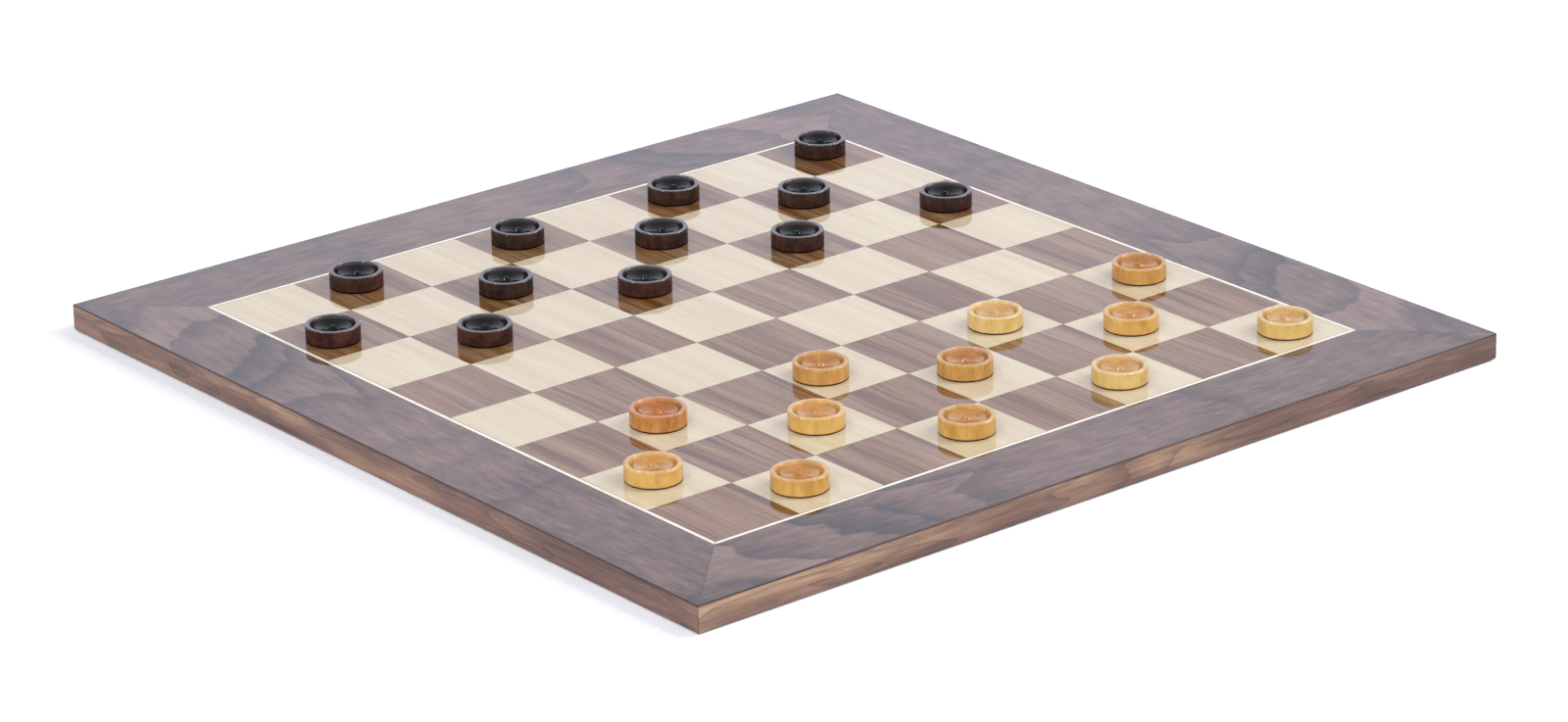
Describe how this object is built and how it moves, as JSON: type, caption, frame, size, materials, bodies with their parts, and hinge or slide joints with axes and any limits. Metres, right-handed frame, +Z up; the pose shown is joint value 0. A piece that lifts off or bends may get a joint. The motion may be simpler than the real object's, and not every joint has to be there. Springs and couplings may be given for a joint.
{
  "type": "draughts board with draughtsmen",
  "caption": "Veneered checker board with a mitred walnut border and turned, dished wooden draughtsmen set out for play.",
  "frame": {"origin": "centre of the board's underside", "axes": "+Z up; +X from file a to file h; +Y from rank 1, the light player's edge, to rank 8, the dark player's edge"},
  "size_m": [0.498, 0.498, 0.0225],
  "materials": {
    "core": "raw medium-density fibreboard, hidden inside the board",
    "backing": "plain walnut balancing veneer, satin",
    "walnut_edging": "solid walnut, satin lacquer",
    "walnut_border": "figured walnut veneer under clear high-gloss lacquer",
    "maple_line": "maple stringing under clear high-gloss lacquer",
    "walnut_veneer": "straight-grained walnut veneer under clear high-gloss lacquer",
    "maple_veneer": "maple veneer under clear high-gloss lacquer",
    "light_man": "turned boxwood, honey stained, gloss lacquer",
    "dark_man": "turned hardwood, ebonised, gloss lacquer"
  },
  "bodies": {
    "board": {"core_panel": "core", "backing_veneer": "backing", "edge_band_front": "walnut_edging", "edge_band_right": "walnut_edging", "edge_band_back": "walnut_edging", "edge_band_left": "walnut_edging", "border_veneer_front": "walnut_border", "border_veneer_right": "walnut_border", "border_veneer_back": "walnut_border", "border_veneer_left": "walnut_border", "stringing_front": "maple_line", "stringing_right": "maple_line", "stringing_back": "maple_line", "stringing_left": "maple_line", "walnut_squares_rank_1": "walnut_veneer", "walnut_squares_rank_2": "walnut_veneer", "walnut_squares_rank_3": "walnut_veneer", "walnut_squares_rank_4": "walnut_veneer", "walnut_squares_rank_5": "walnut_veneer", "walnut_squares_rank_6": "walnut_veneer", "walnut_squares_rank_7": "walnut_veneer", "walnut_squares_rank_8": "walnut_veneer", "maple_squares_rank_1": "maple_veneer", "maple_squares_rank_2": "maple_veneer", "maple_squares_rank_3": "maple_veneer", "maple_squares_rank_4": "maple_veneer", "maple_squares_rank_5": "maple_veneer", "maple_squares_rank_6": "maple_veneer", "maple_squares_rank_7": "maple_veneer", "maple_squares_rank_8": "maple_veneer"},
    "light_man_b1": {"light_man_b1": "light_man"},
    "light_man_d1": {"light_man_d1": "light_man"},
    "light_man_f1": {"light_man_f1": "light_man"},
    "light_man_h1": {"light_man_h1": "light_man"},
    "light_man_a2": {"light_man_a2": "light_man"},
    "light_man_c2": {"light_man_c2": "light_man"},
    "light_man_e2": {"light_man_e2": "light_man"},
    "light_man_g2": {"light_man_g2": "light_man"},
    "light_man_b3": {"light_man_b3": "light_man"},
    "light_man_d3": {"light_man_d3": "light_man"},
    "light_man_f3": {"light_man_f3": "light_man"},
    "light_man_h3": {"light_man_h3": "light_man"},
    "dark_man_b8": {"dark_man_b8": "dark_man"},
    "dark_man_d8": {"dark_man_d8": "dark_man"},
    "dark_man_f8": {"dark_man_f8": "dark_man"},
    "dark_man_h8": {"dark_man_h8": "dark_man"},
    "dark_man_a7": {"dark_man_a7": "dark_man"},
    "dark_man_c7": {"dark_man_c7": "dark_man"},
    "dark_man_e7": {"dark_man_e7": "dark_man"},
    "dark_man_g7": {"dark_man_g7": "dark_man"},
    "dark_man_b6": {"dark_man_b6": "dark_man"},
    "dark_man_d6": {"dark_man_d6": "dark_man"},
    "dark_man_f6": {"dark_man_f6": "dark_man"},
    "dark_man_h6": {"dark_man_h6": "dark_man"}
  },
  "joints": [
    {"name": "light_man_b1_lift", "type": "slide", "parent": "board", "child": "light_man_b1", "axis": [0, 0, 1], "range_m": [0, 0.06]},
    {"name": "light_man_d1_lift", "type": "slide", "parent": "board", "child": "light_man_d1", "axis": [0, 0, 1], "range_m": [0, 0.06]},
    {"name": "light_man_f1_lift", "type": "slide", "parent": "board", "child": "light_man_f1", "axis": [0, 0, 1], "range_m": [0, 0.06]},
    {"name": "light_man_h1_lift", "type": "slide", "parent": "board", "child": "light_man_h1", "axis": [0, 0, 1], "range_m": [0, 0.06]},
    {"name": "light_man_a2_lift", "type": "slide", "parent": "board", "child": "light_man_a2", "axis": [0, 0, 1], "range_m": [0, 0.06]},
    {"name": "light_man_c2_lift", "type": "slide", "parent": "board", "child": "light_man_c2", "axis": [0, 0, 1], "range_m": [0, 0.06]},
    {"name": "light_man_e2_lift", "type": "slide", "parent": "board", "child": "light_man_e2", "axis": [0, 0, 1], "range_m": [0, 0.06]},
    {"name": "light_man_g2_lift", "type": "slide", "parent": "board", "child": "light_man_g2", "axis": [0, 0, 1], "range_m": [0, 0.06]},
    {"name": "light_man_b3_lift", "type": "slide", "parent": "board", "child": "light_man_b3", "axis": [0, 0, 1], "range_m": [0, 0.06]},
    {"name": "light_man_d3_lift", "type": "slide", "parent": "board", "child": "light_man_d3", "axis": [0, 0, 1], "range_m": [0, 0.06]},
    {"name": "light_man_f3_lift", "type": "slide", "parent": "board", "child": "light_man_f3", "axis": [0, 0, 1], "range_m": [0, 0.06]},
    {"name": "light_man_h3_lift", "type": "slide", "parent": "board", "child": "light_man_h3", "axis": [0, 0, 1], "range_m": [0, 0.06]},
    {"name": "dark_man_b8_lift", "type": "slide", "parent": "board", "child": "dark_man_b8", "axis": [0, 0, 1], "range_m": [0, 0.06]},
    {"name": "dark_man_d8_lift", "type": "slide", "parent": "board", "child": "dark_man_d8", "axis": [0, 0, 1], "range_m": [0, 0.06]},
    {"name": "dark_man_f8_lift", "type": "slide", "parent": "board", "child": "dark_man_f8", "axis": [0, 0, 1], "range_m": [0, 0.06]},
    {"name": "dark_man_h8_lift", "type": "slide", "parent": "board", "child": "dark_man_h8", "axis": [0, 0, 1], "range_m": [0, 0.06]},
    {"name": "dark_man_a7_lift", "type": "slide", "parent": "board", "child": "dark_man_a7", "axis": [0, 0, 1], "range_m": [0, 0.06]},
    {"name": "dark_man_c7_lift", "type": "slide", "parent": "board", "child": "dark_man_c7", "axis": [0, 0, 1], "range_m": [0, 0.06]},
    {"name": "dark_man_e7_lift", "type": "slide", "parent": "board", "child": "dark_man_e7", "axis": [0, 0, 1], "range_m": [0, 0.06]},
    {"name": "dark_man_g7_lift", "type": "slide", "parent": "board", "child": "dark_man_g7", "axis": [0, 0, 1], "range_m": [0, 0.06]},
    {"name": "dark_man_b6_lift", "type": "slide", "parent": "board", "child": "dark_man_b6", "axis": [0, 0, 1], "range_m": [0, 0.06]},
    {"name": "dark_man_d6_lift", "type": "slide", "parent": "board", "child": "dark_man_d6", "axis": [0, 0, 1], "range_m": [0, 0.06]},
    {"name": "dark_man_f6_lift", "type": "slide", "parent": "board", "child": "dark_man_f6", "axis": [0, 0, 1], "range_m": [0, 0.06]},
    {"name": "dark_man_h6_lift", "type": "slide", "parent": "board", "child": "dark_man_h6", "axis": [0, 0, 1], "range_m": [0, 0.06]}
  ]
}
